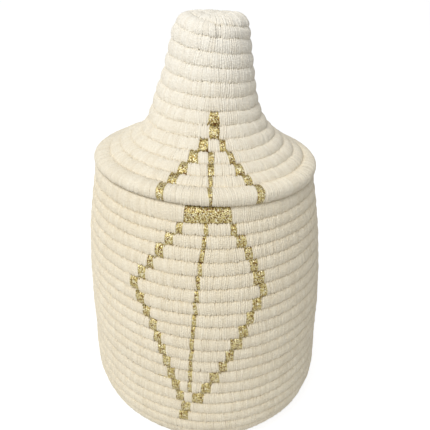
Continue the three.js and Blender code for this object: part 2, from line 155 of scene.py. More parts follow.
def cream_yarn():
    """Matt cotton: a deep and a pale cream mixed by patch, by wrap, by fibre and by fluff, both painted
    paler towards the crown as painted light from above, then tan in the seams, partly dirt and partly
    painted shade, more of it on the body than on the lid, and brown painted shade in the stitch holes."""
    material, tree, surface = new_material("cream yarn")
    yarn = add(tree, "ShaderNodeGroup", {"node_tree": BOUND_YARN}, Plies=1.0, Hairiness=1.2, Fluff=12.0)
    place = add(tree, "ShaderNodeTexCoord").outputs["Object"]
    patches = noise(tree, place, Scale=22.0, Detail=2.0)
    tone = maths(tree, "MULTIPLY", patches, PATCH_TONE)
    for name, weight in (("Wrap tone", WRAP_TONE), ("Fibre tone", FIBRE_TONE), ("Fluff tone", FLUFF_TONE)):
        tone = maths(tree, "MULTIPLY_ADD", yarn.outputs[name], weight, tone)
    height = add(tree, "ShaderNodeSeparateXYZ", Vector=place).outputs["Z"]
    # Painted light: the cream turns paler and less yellow between these heights, as if lit from above.
    fade = ramp_between(tree, height, *PAINTED_LIGHT_BETWEEN_HEIGHTS)
    deep = mix_colour(tree, fade, *DEEP_CREAM)
    pale = mix_colour(tree, fade, *PALE_CREAM)
    cream = mix_colour(tree, ramp_between(tree, tone, *TONE_RANGE), deep, pale)
    groove = seam_dirt_and_shade_mask(tree)
    on_body = maths(tree, "SUBTRACT", 1.0, ramp_between(tree, height, *LID_BETWEEN_HEIGHTS))
    tan = maths(tree, "MULTIPLY_ADD", on_body, SEAM_DIRT_AND_SHADE_MORE_ON_BODY, SEAM_DIRT_AND_SHADE_ON_LID)
    # Tan in the seams: partly dirt, partly painted shade.
    darkening_share = maths(tree, "MULTIPLY", ramp_between(tree, groove, 0.0, 0.5), tan)
    seam = mix_colour(tree, darkening_share, cream, SEAM_DIRT_AND_SHADE_TAN)
    # Brown in the stitch holes: painted shade.
    colour = mix_colour(tree, ramp_between(tree, groove, 0.55, 1.0), seam, PAINTED_HOLE_SHADE)
    bump = add(tree, "ShaderNodeBump", Height=yarn.outputs["Height"], Strength=0.35, Distance=0.0003)
    cotton = add(tree, "ShaderNodeBsdfPrincipled", Base_Color=colour, Normal=bump.outputs[0], Roughness=0.9,
                 Specular_IOR_Level=0.2, Sheen_Weight=0.15, Sheen_Roughness=0.6)
    tree.links.new(cotton.outputs[0], surface)
    return material


CREAM_YARN = cream_yarn()

# The basket's wall. A long bundle of grass bound with the cream yarn is wound upwards, clockwise seen
# from above, and each round is sewn to the round below. It leans a little to the left, and it narrows
# towards the mouth.

# From here on lengths are in mm and angles in radians, and rounds are counted down from the rim's.
BODY_HEIGHT = 219.4
BODY_PITCH = 10.13
BASE_MIDDLE_HEIGHT = 4.25
FOOT_RADIUS = 94.6
BASE_CORNER_RADIUS = 35.4
BELLY_RADIUS = 93.2
BELLY_HEIGHT = 83.0
BELLY_BEND = 84.5
MOUTH_RADIUS = 78.9
RIM_BEND = 8.0
BODY_LEAN = 9.5
LEAN_START = 8.5
WALL_ROUNDS = 23
WALL_PIECES = 8
FIRST_WALL_ROUND = 2
CLIMB_AT_BACK = 0.7
LINE_POINTS, ARC_POINTS, BEND_POINTS = 60, 120, 400


def line(start, end):
    """Points of a straight run: the start plus a share of the way to the end."""
    share = np.linspace(0, 1, LINE_POINTS)[:, None]
    return np.array(start) + share * (np.array(end) - np.array(start))


def arc(centre, radius, start, end):
    """Points of a round corner: the centre plus the radius turned from one angle to another."""
    turn = np.linspace(start, end, ARC_POINTS)
    return np.stack([centre[0] + radius * np.cos(turn), centre[1] + radius * np.sin(turn)], 1)


def bend(a, b, c, d):
    """Points of a cubic Bezier curve through a and d with the handles b and c."""
    t = np.linspace(0, 1, BEND_POINTS)[:, None]
    a, b, c, d = (np.array(p) for p in (a, b, c, d))
    return (1 - t) ** 3 * a + 3 * (1 - t) ** 2 * t * b + 3 * (1 - t) * t ** 2 * c + t ** 3 * d


class Shell:
    """A profile of (radius, height) points turned about the axis, which is shifted sideways by its
    lean."""

    def __init__(self, parts, outer_side, lean):
        points = np.concatenate([parts[0], *(part[1:] for part in parts[1:])])
        self.distance = np.concatenate([[0], np.cumsum(np.hypot(*np.diff(points, axis=0).T))])
        self.points = points
        self.along = np.gradient(points, self.distance, axis=0)
        self.outer_side = outer_side
        self.lean = lean

    def radius(self, distance):
        """The profile's radius at a distance along it."""
        return np.interp(distance, self.distance, self.points[:, 0])

    def place(self, distance, offset, azimuth):
        """The point at a distance along the profile, an offset out of it along its normal, and an azimuth
        from the front (-Y) towards the right (+X)."""
        radius, height = (np.interp(distance, self.distance, self.points[:, i]) for i in (0, 1))
        out_r, out_z = (np.interp(distance, self.distance, self.along[:, i]) for i in (1, 0))
        radius = radius + self.outer_side * out_r * offset
        height = np.maximum(height - self.outer_side * out_z * offset, 0)
        right = radius * np.sin(azimuth) + self.lean(height)
        return np.stack([right, -radius * np.cos(azimuth), height], -1)


def body_lean(height):
    """Each round sits a little further to the left than the round below it."""
    return -BODY_LEAN * np.clip((height - LEAN_START) / (BODY_HEIGHT - LEAN_START), 0, 1)


CORNER_TOP = BASE_MIDDLE_HEIGHT + BASE_CORNER_RADIUS
BASE_FLAT_RADIUS = FOOT_RADIUS - BASE_CORNER_RADIUS
MID_WALL = (CORNER_TOP + BELLY_HEIGHT) / 2
BODY_SHELL = Shell([
    line((0, BASE_MIDDLE_HEIGHT), (BASE_FLAT_RADIUS, BASE_MIDDLE_HEIGHT)),
    arc((BASE_FLAT_RADIUS, CORNER_TOP), BASE_CORNER_RADIUS, -np.pi / 2, 0),
    bend((FOOT_RADIUS, CORNER_TOP), (FOOT_RADIUS, MID_WALL),
         (BELLY_RADIUS, MID_WALL), (BELLY_RADIUS, BELLY_HEIGHT)),
    bend((BELLY_RADIUS, BELLY_HEIGHT), (BELLY_RADIUS, BELLY_HEIGHT + BELLY_BEND),
         (MOUTH_RADIUS, BODY_HEIGHT - RIM_BEND), (MOUTH_RADIUS, BODY_HEIGHT)),
], 1, body_lean)
RIM_DISTANCE = BODY_SHELL.distance[-1]

ELLIPSE_SHARE = 0.85
ELLIPSE_POWER = 0.75
SEAM_ZONE = 0.34
OUTER_POINTS, INNER_POINTS = 13, 4


def coil_section(peak, lower, upper, inner_peak, inner_edge, sewn=(1, 1)):
    """The coil's outline as (place along the wall in half rounds, offset out of it, nearness to a sewn
    seam). The outer face rises from its offsets at the two seams to its peak as a mix of a fuller half
    ellipse and a cosine, and the inner face is a flatter half ellipse. Nearness grows from 0 at the edge
    of the seam's zone to 1 in the seam, times the edge's share in sewn. An edge that isn't sewn to a
    neighbour counts as no seam at a share of 0; a part share on such an edge darkens its colour there as
    painted shade, where it meets the other part of the basket."""
    turn = np.radians(np.linspace(-90, 90, OUTER_POINTS))
    along = np.sin(turn)
    edge = np.where(turn < 0, lower, upper)
    ellipse = np.cos(turn).clip(0) ** ELLIPSE_POWER
    rise = ELLIPSE_SHARE * ellipse + (1 - ELLIPSE_SHARE) * np.cos(along * np.pi / 2)
    near = ((abs(along) - (1 - SEAM_ZONE)) / SEAM_ZONE).clip(0) * np.where(turn < 0, *sewn)
    outer = np.stack([along, edge + (peak - edge) * rise, near], 1)
    turn = np.radians(np.linspace(90, -90, INNER_POINTS))
    inner = np.stack([np.sin(turn), -inner_edge - (inner_peak - inner_edge) * np.cos(turn), 0 * turn], 1)
    return np.concatenate([outer, inner])


ROUND_SECTION = coil_section(peak=3.95, lower=1.5, upper=1.3, inner_peak=3.55, inner_edge=1.7)

WRAP_WIDTH = 1.45
WRAP_WIDTH_SPREAD = 0.17
WRAP_WIDTH_LIMITS = (0.6, 1.5)
PHASES = np.array([0, 0.25, 0.5, 0.75])
FINE_STEPS = 4000


def lay_wraps(start, end, radius_at, width, random):
    """Cuts the coil from one angle to another into wraps of yarn of uneven width, four samples to a wrap.
    Returns each sample's angle, its wrap's number and its phase in the wrap, where 0 is the furrow before
    it. The wraps' edges are summed up along the coil's length, and each is turned back into an angle."""
    fine = np.linspace(start, end, FINE_STEPS)
    run = np.concatenate([[0], np.cumsum(radius_at((fine[1:] + fine[:-1]) / 2) * np.diff(fine))])
    count = max(round(run[-1] / width), 1)
    widths = random.normal(1, WRAP_WIDTH_SPREAD, count).clip(*WRAP_WIDTH_LIMITS)
    edges = np.concatenate([[0], np.cumsum(widths)])
    edges *= run[-1] / edges[-1]
    wrap = np.append(np.repeat(np.arange(count), len(PHASES)), count - 1)
    phase = np.append(np.tile(PHASES, count), 1.0)
    at = edges[wrap] + phase * (edges[wrap + 1] - edges[wrap])
    return np.interp(at, run, fine), wrap, phase


RIB_HEIGHTS = (0.2, 0.6)
FURROW_LEVELS = (-0.28, 0.2)
TOOTH_LENGTH = 0.75
TOOTH_RISE = 0.8
SLANT_WAVES = ((0.10, 5.3, 1), (0.07, 11.7, 2))
SLANT_SPREAD = 0.05
SWELL_WAVES = ((0.12, 3.1, 0), (0.10, 8.7, 1))
SWELL_FULL_AT = 3.0
PAIR_PINCH = 0.22
HIDDEN_FLATNESS = 0.8
HIDDEN_DROP = 0.4
# How much the seams are darkened by chance, as dirt and painted shade, and the stitch holes, as painted
# shade.
SEAM_DIRT_AND_SHADE_SHARES = (0.2, 0.4)
HOLE_SHADE_SHARE = 0.9
NUMBERS_APART = 1700
NUMBER_SETS = 7
METRES_IN_MM = 0.001


def slow_waves(angle, waves, shift=1):
    """Waves along the coil: each is its size times the sine of its count x angle + its start x a
    shift."""
    return sum(size * np.sin(count * angle + start * shift) for size, count, start in waves)


def bind(coil, start, end, seed, section=ROUND_SECTION, width=WRAP_WIDTH, relief=0.97, lift=0.0, pits=1.2,
         covered=()):
    """Yarn bound round a stretch of coil, as a grid with a row for each sample along it and a column for
    each point of the section. A wrap is a half sine in height, and its ends reach over the seams by
    uneven lengths. In pairs they dive into one stitch hole, which leaves a pit between the pairs. The
    wraps slant by slow waves and a little by chance. Under gold yarn the cream lies lower and flatter. A
    coil is its functions for a place, for half a round's height and for the radius. Returns the points in
    mm, the UV map of wrap number and girth, and the groove's depth. The wraps of successive pieces are
    numbered apart, so that their random tones differ."""
    place, half_at, radius_at = coil
    random = np.random.default_rng(seed)
    angle, wrap, phase = lay_wraps(start, end, radius_at, width, random)

    # What each wrap has by chance.
    count = wrap[-1] + 1
    height = relief * random.uniform(*RIB_HEIGHTS, count)[wrap]
    furrow = relief * random.uniform(*FURROW_LEVELS, count)[wrap]
    bite = random.random(count)[wrap]
    jitter = random.normal(0, SLANT_SPREAD, count)[wrap]
    reach = relief * random.uniform(0, TOOTH_LENGTH, count)[wrap]

    # The forms of the wraps, by the phase, and what the gold hides of them.
    shown = np.ones(len(angle))
    for low, high in covered:
        shown = np.where((angle > low) & (angle < high), 0, shown)
    arch = np.sin(np.pi * phase)
    rib = np.where(phase % 1 == 0, furrow, height * arch) * (1 - HIDDEN_FLATNESS * (1 - shown))
    pit = np.where((wrap % 2 == 0) & (phase == 0), pits * bite ** 4, 0) * shown
    tooth = (reach * arch * shown)[:, None]
    swell = lift + slow_waves(angle, SWELL_WAVES) - HIDDEN_DROP * (1 - shown)
    slant = slow_waves(angle, SLANT_WAVES, seed) + jitter
    pinch = np.where(wrap % 2 == 0, 1, -1) * np.where(phase % 1 == 0, 0, PAIR_PINCH)

    # The section in each row, raised along its normal by the wraps and drawn out by their teeth.
    half = half_at(angle)
    along, out, near = section.T
    outline = np.stack([along * half.mean(), out], 1)
    tangent = np.roll(outline, -1, 0) - np.roll(outline, 1, 0)
    tangent /= np.hypot(*tangent.T)[:, None]
    raised = rib[:, None] - pit[:, None] * near
    grid_along = along * half[:, None] - tangent[:, 1] * raised + np.sign(along) * tooth * near ** 2
    grid_out = out + tangent[:, 0] * raised + TOOTH_RISE * tooth * near
    grid_out = grid_out + swell[:, None] * np.sign(out) * np.minimum(np.abs(out) / SWELL_FULL_AT, 1)
    shear = slant[:, None] * along * half[:, None] + pinch[:, None] * near
    points = place(angle[:, None], grid_along, grid_out, shear / radius_at(angle)[:, None])

    # The way round the section for the UV map, and how far its seams and holes are darkened: in the
    # seams partly as dirt and partly as painted shade, in the holes as painted shade.
    closed = np.vstack([outline, outline[:1]])
    girth = np.concatenate([[0], np.cumsum(np.hypot(*np.diff(closed, axis=0).T))])
    number = wrap + phase + NUMBERS_APART * (seed % NUMBER_SETS)
    seam_darkening = SEAM_DIRT_AND_SHADE_SHARES[0] + (SEAM_DIRT_AND_SHADE_SHARES[1] - SEAM_DIRT_AND_SHADE_SHARES[0]) * bite[:, None]
    groove = near ** 3 * seam_darkening + HOLE_SHADE_SHARE * pit[:, None] * near
    return points, (number, girth / width), np.clip(groove, 0, 1)


def grid_faces(points, u, v):
    """The faces of a grid that is closed round its columns: a quad between each two rows and columns, and a
    cap over each end. They are turned to point out, by the sign of the volume that the quads enclose, which
    is the sum over them of one corner times the cross products of the others. Returns the corners and the
    UV of the quads, then of the caps."""
    rows, columns = points.shape[:2]
    i, j = np.meshgrid(np.arange(rows - 1), np.arange(columns), indexing="ij")
    here, beside = i * columns + j, i * columns + (j + 1) % columns
    quads = np.stack([here, beside, beside + columns, here + columns], -1).reshape(-1, 4)
    quad_u = np.stack([u[i], u[i], u[i + 1], u[i + 1]], -1)
    quad_v = np.stack([v[j], v[j + 1], v[j + 1], v[j]], -1)
    quad_uv = np.stack([quad_u, quad_v], -1).reshape(-1, 4, 2)
    caps = np.stack([np.arange(columns)[::-1], (rows - 1) * columns + np.arange(columns)])
    cap_uv = np.stack([np.broadcast_to(u[[0, -1], None], caps.shape), v[caps % columns]], -1)
    corner = points.reshape(-1, 3)[quads]
    spread = np.cross(corner[:, 1], corner[:, 2]) + np.cross(corner[:, 2], corner[:, 3])
    if np.einsum("ij,ij->", corner[:, 0], spread) < 0:
        return quads[:, ::-1], quad_uv[:, ::-1], caps[:, ::-1], cap_uv[:, ::-1]
    return quads, quad_uv, caps, cap_uv


def skin(name, grids, material, body, nodes):
    """One piece from its grids of points in mm: their faces in one mesh, in metres, with the wraps' UV map
    and the groove's depth, set in the place of the nodes that it stands for."""
    vertices, corners, sizes, uvs, grooves, first = [], [], [], [], [], 0
    for points, (u, v), groove in grids:
        quads, quad_uv, caps, cap_uv = grid_faces(points, u, v)
        corners += [quads.ravel() + first, caps.ravel() + first]
        sizes += [np.full(len(quads), quads.shape[1]), np.full(len(caps), caps.shape[1])]
        uvs += [quad_uv.reshape(-1, 2), cap_uv.reshape(-1, 2)]
        vertices.append(points.reshape(-1, 3) * METRES_IN_MM)
        grooves.append(np.broadcast_to(groove, points.shape[:2]).ravel())
        first += len(vertices[-1])
    vertices, corners, sizes = np.concatenate(vertices), np.concatenate(corners), np.concatenate(sizes)
    mesh = bpy.data.meshes.new(name)
    mesh.vertices.add(len(vertices))
    mesh.vertices.foreach_set("co", vertices.ravel().astype(np.float32))
    mesh.loops.add(len(corners))
    mesh.loops.foreach_set("vertex_index", corners.astype(np.int32))
    mesh.polygons.add(len(sizes))
    mesh.polygons.foreach_set("loop_start", (np.cumsum(sizes) - sizes).astype(np.int32))
    mesh.update(calc_edges=True)
    mesh.polygons.foreach_set("use_smooth", np.ones(len(sizes), bool))
    wraps = mesh.uv_layers.new(name="wraps")
    wraps.data.foreach_set("uv", np.concatenate(uvs).ravel().astype(np.float32))
    depths = mesh.attributes.new("groove", "FLOAT", "POINT")
    depths.data.foreach_set("value", np.concatenate(grooves).astype(np.float32))
    mesh.validate()
    mesh.materials.append(material)
    piece = bpy.data.objects.new(name, mesh)
    bpy.context.collection.objects.link(piece)
    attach(piece, body)
    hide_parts(*nodes)


SEWING_WAVES = ((0.22, 3, 1 / 17, 0), (0.18, 7, -1 / 11, 2), (0.14, 13, 1 / 7, 4), (0.15, 53, -0.9, 0),
                (0.16, 101, 0.5, 0), (0.16, 187, 1.3, 0))
STILL_RADIUS = 8.0
SETTLED_ROUNDS = (0.0, 1.0, 2.5, 6.0, 9.0, 13.0, 14.5, 16.5, 18.5)
SETTLED_BY = (0.0, 2.2, -0.9, -0.9, -1.6, -1.6, 0.3, 0.2, -1.6)
LEFT_ROUNDS = (1, 3, 5, 7, 9, 12, 15, 18, 21)
LEFT_RISE = (-1.0, -1.4, -0.4, -0.6, 1.8, 2.1, 2.9, 1.6, 0)
RIGHT_ROUNDS = (1, 2.5, 4, 5, 7, 9, 10.5, 13, 16, 21)
RIGHT_RISE = (1.2, -0.4, 1.4, 2.2, 0.8, -0.6, -1.6, 0, 1.0, 0)
CURL_FILL = 3.4
CURL_FILL_RADIUS = 3.0


def climb(angle):
    """Rounds gained from the front to an angle along the coil: the maker steps up mostly at the back."""
    return (angle - CLIMB_AT_BACK * np.sin(angle)) / (2 * np.pi)


def wall_seam(angle):
    """Distance along the profile of the seam under the coil, none at the middle of the base. Some rounds
    settled lower than others as they were sewn, and the last ones are pushed together under the thick
    rim."""
    rounds = FIRST_WALL_ROUND - climb(angle)
    settled = np.interp(rounds, SETTLED_ROUNDS, SETTLED_BY)
    return np.maximum(RIM_DISTANCE - BODY_PITCH * rounds - settled, 0)


def wall_middle(angle):
    """Distance along the profile of the coil's middle, halfway between its two seams."""
    return (wall_seam(angle) + wall_seam(angle + 2 * np.pi)) / 2


def wall_half(angle):
    """Half the distance between the coil's two seams."""
    return (wall_seam(angle + 2 * np.pi) - wall_seam(angle)) / 2


def wall_radius(angle):
    """The shell's radius at the coil's middle, and at least 1 in the base's curl."""
    return np.maximum(BODY_SHELL.radius(wall_middle(angle)), 1)


def wobble(azimuth, distance):
    """Unevenness of hand sewing in mm: slow waves round the basket and short ones from stitch to stitch,
    which drift from round to round, so that two rounds still meet in one seam. Each is its size times the
    sine of its count x azimuth + its drift x distance + its start. They fade in from a curl's middle."""
    waves = sum(size * np.sin(count * azimuth + drift * distance + start)
                for size, count, drift, start in SEWING_WAVES)
    return waves * (1 - np.exp(-(distance / STILL_RADIUS) ** 2))


def sewing(azimuth, distance):
    """How far the sewing has moved a place of the basket along the profile, in mm: its unevenness, and
    the rounds that were pulled up or down at the left and the right side."""
    rounds = (RIM_DISTANCE - distance) / BODY_PITCH
    left = np.clip(-np.sin(azimuth), 0, 1) * np.interp(rounds, LEFT_ROUNDS, LEFT_RISE)
    right = np.clip(np.sin(azimuth), 0, 1) * np.interp(rounds, RIGHT_ROUNDS, RIGHT_RISE)
    return wobble(azimuth, distance) + left + right


def curl_fill(distance, out):
    """The first stitches, which close the middle of a curl and fill its hollow: what an outer point lacks
    to the fill's level, times a bell curve of its distance."""
    return np.exp(-(distance / CURL_FILL_RADIUS) ** 2) * np.clip(CURL_FILL - out, 0, None) * (out > 0)


def wall_place(angle, along, out, turn):
    """A point of the wall's coil: its own distance up the profile, moved by the sewing's unevenness."""
    distance = wall_middle(angle) + along
    azimuth = turn - angle
    return BODY_SHELL.place(distance + sewing(azimuth, distance), out + curl_fill(distance, out), azimuth)


def wall_angle(row, azimuth):
    """Angle along the coil of a round of the wall: a full turn for each round, counted from the first."""
    return 2 * np.pi * (FIRST_WALL_ROUND - row) - azimuth


FACE_OFFSET = 3.0


class Figure:
    """Gold patches in successive rounds of a coil: each round, its middle and half width as azimuths, and
    the coil angles that it covers. The places are (round, mm right of the front line) along straight runs
    of the figure, and each round's width is in mm."""

    def __init__(self, places, widths, angle_of, radius_at):
        self.rounds = np.arange(places[0][0], places[-1][0] + 1)
        right = np.interp(self.rounds, [p[0] for p in places], [p[1] for p in places])
        radius = radius_at(angle_of(self.rounds, 0)) + FACE_OFFSET
        self.azimuth = right / radius
        self.reach = np.array(widths) / 2 / radius
        middle = angle_of(self.rounds, self.azimuth)
        self.spans = np.stack([middle - self.reach, middle + self.reach], 1)


def spans_of(*figures):
    """The coil angles that several figures cover."""
    return np.concatenate([figure.spans for figure in figures])


LEFT_WIDTHS = (4.3, 5.8, 5.8, 4.3, 5.8, 7.2, 7.2, 5.8, 5.8, 5.8, 5.8, 5.8, 5.8, 5.8, 5.8)
RIGHT_WIDTHS = (4.3, 7.2, 5.8, 5.8, 8.7, 5.8, 7.2, 5.8, 7.2, 8.7, 5.8, 5.8, 7.2, 7.2, 8.7)
LEFT_PLACES = ((2, -13.3), (7, -48.8), (10, -34.5), (16, -16))
RIGHT_PLACES = ((2, 22.2), (4, 33.1), (7, 45.2), (13, 16.1), (16, -2.7))
CENTRE_PLACES = ((2, 4.2), (6, -1.2), (11, -6.2), (15, -8.6))
DIAMOND_LEFT = Figure(LEFT_PLACES, LEFT_WIDTHS, wall_angle, wall_radius)
DIAMOND_RIGHT = Figure(RIGHT_PLACES, RIGHT_WIDTHS, wall_angle, wall_radius)
DIAMOND_CENTRE = Figure(CENTRE_PLACES, (2.9,) * 14, wall_angle, wall_radius)
DIAMOND_TIP = Figure(((17, -12), (18, -13.8)), (7.2, 7.2), wall_angle, wall_radius)

WALL_COIL = (wall_place, wall_half, wall_radius)
WALL_GOLD = spans_of(DIAMOND_LEFT, DIAMOND_RIGHT, DIAMOND_CENTRE, DIAMOND_TIP)
WALL_START = np.pi * (1 - 2 * WALL_ROUNDS)
cuts = np.linspace(WALL_START, np.pi, WALL_PIECES + 1)
for number in range(WALL_PIECES):
    grid = bind(WALL_COIL, cuts[number], cuts[number + 1], 11 + number, covered=WALL_GOLD)
    skin(f"wall_coil_bound_{number + 1}", [grid], CREAM_YARN, "basket", ["wall_coil"])

# The base. The same bound coil of grass is wound flat from a tight curl in the middle, each round sewn to
# the one inside it, and at the corner it goes on into the wall.
CURL_START = 0.04
BASE_ROUNDS = wall_seam(WALL_START + 2 * np.pi) / BODY_PITCH - CURL_START
BASE_START = WALL_START - 2 * np.pi * BASE_ROUNDS

grid = bind(WALL_COIL, BASE_START, WALL_START, 31)
skin("base_coil_bound", [grid], CREAM_YARN, "basket", ["base_coil"])

# The rim. The last round of the same coil is evened out: its lower edge follows the wall's and its top is
# round and nearly level. Its yarn is laid closer than the wall's, and its ends meet at the back.
# The rim's top isn't sewn, yet takes 0.6 of a seam there: the darker colour this gives it is painted shade
# under the lid's brim.
RIM_SECTION = coil_section(peak=4.0, lower=1.5, upper=-0.9, inner_peak=3.55, inner_edge=0.8, sewn=(1, 0.6))
RIM_WRAP_WIDTH = 0.8 * WRAP_WIDTH
MOUTH_RISE = 0.5
MOUTH_TILT = 1.8


def mouth_rise(azimuth):
    """The mouth isn't quite level: it stands higher at the left than at the right."""
    return MOUTH_RISE - MOUTH_TILT * np.sin(azimuth)


def rim_half(angle):
    """Half the distance from the seam under the rim to its top."""
    return (RIM_DISTANCE - wall_seam(2 * np.pi + angle)) / 2


def rim_radius(angle):
    """The mouth's radius at every angle."""
    return np.full(np.shape(angle), MOUTH_RADIUS)


def rim_place(angle, along, out, turn):
    """A point of the rim's round, which is even at its top and follows the sewing at its lower edge."""
    azimuth = turn - angle
    half = rim_half(angle)
    level = np.clip((along / half + 1) / 2, 0, 1)
    distance = RIM_DISTANCE - half + along
    moved = (1 - level) * sewing(azimuth, distance) + level * mouth_rise(azimuth)
    return BODY_SHELL.place(distance + moved, out, azimuth)


def rim_angle(row, azimuth):
    """Angle along the rim, which is a single round."""
    return 0 * row - azimuth


RIM_COIL = (rim_place, rim_half, rim_radius)
RIM_BAR = Figure(((1, 5.4),), (30.5,), rim_angle, rim_radius)

grid = bind(RIM_COIL, -np.pi, np.pi, 41, RIM_SECTION, RIM_WRAP_WIDTH, pits=0.4, covered=RIM_BAR.spans)
skin("rim_coil_bound", [grid], CREAM_YARN, "basket", ["rim_coil"])

# The lid. A second coil of bound grass is wound from a curl at the crown, down the neck and out over the
# cone. It lifts off. At the crown's edge the first upright round was laid double as far as the front,
# where it ends in a step.
LID_HEIGHT = 106.5
LID_SEAT_GAP = 0.3
LID_PITCH = 9.61
CROWN_RADIUS = 22.9
CROWN_CORNER_RADIUS = 8.8
CROWN_LEAN = 1.2
CROWN_LEAN_START = 40.0
NECK_FOOT_RADIUS = 30.6
NECK_FOOT_HEIGHT = 57.1
NECK_BEND = 27.8
CONE_BEND = 26.6
CONE_FOOT_RADIUS = 72.0
CONE_FOOT_HEIGHT = 6.5
CONE_SLOPE = math.radians(30)
LID_PIECES = 2
LAST_LID_ROUND = 12
LID_CLIMB_ROUNDS = (3.0, 5.5, 8.0)
LID_CLIMB_AT_BACK = (-0.86, -0.1, 0.45)
LID_UNEVENNESS = 0.8
LEFT_FLARE = 2.4
LEFT_FLARE_DISTANCE = 73.0
LEFT_SAG = 2.5
LEFT_SAG_DISTANCE = 103.0
LEFT_LENGTH = 13.0
LEFT_TURN = 0.4
STEP_ROUND = 1
STEP_AZIMUTH = 0.11
STEP_DROP = 2.7
STEP_DROP_ANGLES = (-0.95, 0, 1.6, 4.6)
STEP_DROP_SHARES = (0, 1, 0.9, 0)
STEP_SWELL = 0.9
STEP_SWELL_REACH = 0.5
STEP_EDGE = 0.04
STEP_BACK_REACH = 0.4
RIGHT_CORNER_SWELL = 1.3
RIGHT_CORNER_ANGLE = 1.3 - 2 * np.pi
RIGHT_CORNER_REACH = 0.7


def lid_lean(height):
    """The neck leans a hair to the right."""
    return CROWN_LEAN * np.clip((height - CROWN_LEAN_START) / (LID_HEIGHT - CROWN_LEAN_START), 0, 1)


CROWN_HEIGHT = LID_HEIGHT - BASE_MIDDLE_HEIGHT
CROWN_FLAT_RADIUS = CROWN_RADIUS - CROWN_CORNER_RADIUS
NECK_TOP_HEIGHT = CROWN_HEIGHT - CROWN_CORNER_RADIUS
NECK_TAPER = math.atan2(NECK_FOOT_RADIUS - CROWN_RADIUS, NECK_TOP_HEIGHT - NECK_FOOT_HEIGHT)
DOWN_CONE = np.array([math.cos(CONE_SLOPE), -math.sin(CONE_SLOPE)])
CONE_FOOT = np.array([CONE_FOOT_RADIUS, CONE_FOOT_HEIGHT])
NECK_FOOT = np.array([NECK_FOOT_RADIUS, NECK_FOOT_HEIGHT])
DOWN_NECK = np.array([math.sin(NECK_TAPER), -math.cos(NECK_TAPER)])
CROWN_ARC = arc((CROWN_FLAT_RADIUS, NECK_TOP_HEIGHT), CROWN_CORNER_RADIUS, np.pi / 2, NECK_TAPER)
CONE_END = line(CONE_FOOT, CONE_FOOT + LID_PITCH * DOWN_CONE)
LID_SHELL = Shell([
    line((0, CROWN_HEIGHT), (CROWN_FLAT_RADIUS, CROWN_HEIGHT)),
    CROWN_ARC,
    line(CROWN_ARC[-1], NECK_FOOT),
    bend(NECK_FOOT, NECK_FOOT + NECK_BEND * DOWN_NECK, CONE_FOOT - CONE_BEND * DOWN_CONE, CONE_FOOT),
    CONE_END,
], -1, lid_lean)
CONE_FOOT_DISTANCE = LID_SHELL.distance[-len(CONE_END)]
LID_PLACE = np.array([-BODY_LEAN, 0, BODY_HEIGHT + LID_SEAT_GAP])


def lid_angle(row, azimuth):
    """Angle along the coil of a round of the lid: a full turn for each round, counted from the last."""
    return 2 * np.pi * (row - LAST_LID_ROUND) + azimuth


STEP_ANGLE = lid_angle(STEP_ROUND, STEP_AZIMUTH)


def lid_seam(angle):
    """Distance from the crown's middle of the seam above the coil, none in the middle itself. The maker
    stepped down at the front in the neck and at the back in the cone. The seam above the crown's step
    drops before it and rises again after it."""
    at_back = np.interp(LAST_LID_ROUND + angle / (2 * np.pi), LID_CLIMB_ROUNDS, LID_CLIMB_AT_BACK)
    rounds = (angle - at_back * np.sin(angle)) / (2 * np.pi)
    drop = STEP_DROP * np.interp(angle - STEP_ANGLE, STEP_DROP_ANGLES, STEP_DROP_SHARES)
    return np.maximum(CONE_FOOT_DISTANCE + LID_PITCH * (rounds - 1) + drop, 0)


def lid_middle(angle):
    """Distance along the profile of the coil's middle, halfway between its two seams."""
    return (lid_seam(angle) + lid_seam(angle + 2 * np.pi)) / 2


def lid_half(angle):
    """Half the distance between the coil's two seams."""
    return (lid_seam(angle + 2 * np.pi) - lid_seam(angle)) / 2


def lid_radius(angle):
    """The shell's radius at the coil's middle, and at least 1 in the crown's curl."""
    return np.maximum(LID_SHELL.radius(lid_middle(angle)), 1)


def lid_surface(distance, out, azimuth):
    """A point of the lid, moved by the sewing's unevenness. On the left the neck flares sooner and the
    cone is a little sunken, each as a bell curve along the profile."""
    flare = LEFT_FLARE * np.exp(-((distance - LEFT_FLARE_DISTANCE) / LEFT_LENGTH) ** 2)
    sag = LEFT_SAG * np.exp(-((distance - LEFT_SAG_DISTANCE) / LEFT_LENGTH) ** 2)
    shift = (flare - sag) * np.clip(-np.sin(azimuth + LEFT_TURN), 0, 1) ** 2
    distance = distance + LID_UNEVENNESS * wobble(azimuth, distance)
    return LID_SHELL.place(distance, out + shift, azimuth) + LID_PLACE


def lid_place(angle, along, out, turn):
    """A point of the lid's coil, which winds down: its distance grows from the crown to the brim. It
    swells towards the step and is set back past it, both fading as exponentials of the angle from the
    step, and it squares the crown's edge on the right by a bell curve of that angle."""
    run = angle - STEP_ANGLE
    set_back = np.clip(run / STEP_EDGE, 0, 1) * np.exp(-np.maximum(run, 0) / STEP_BACK_REACH)
    swell = STEP_SWELL * (np.exp(-np.abs(run) / STEP_SWELL_REACH) - 2 * set_back)
    swell = swell + RIGHT_CORNER_SWELL * np.exp(-((run - RIGHT_CORNER_ANGLE) / RIGHT_CORNER_REACH) ** 2)
    distance = lid_middle(angle) - along
    return lid_surface(distance, out + swell + curl_fill(distance, out), angle + turn)


CHEVRON_TOP = Figure(((7, 6), (8, 6.8)), (7.2, 7.2), lid_angle, lid_radius)
CHEVRON_LEFT = Figure(((9, -0.1), (12, -19)), (6.3,) * 4, lid_angle, lid_radius)
CHEVRON_RIGHT = Figure(((9, 13), (12, 31.5)), (4.3, 4.3, 5.8, 5.8), lid_angle, lid_radius)
CHEVRON_CENTRE = Figure(((10, 5.7), (12, 6.2)), (4.3, 4.3, 2.9), lid_angle, lid_radius)

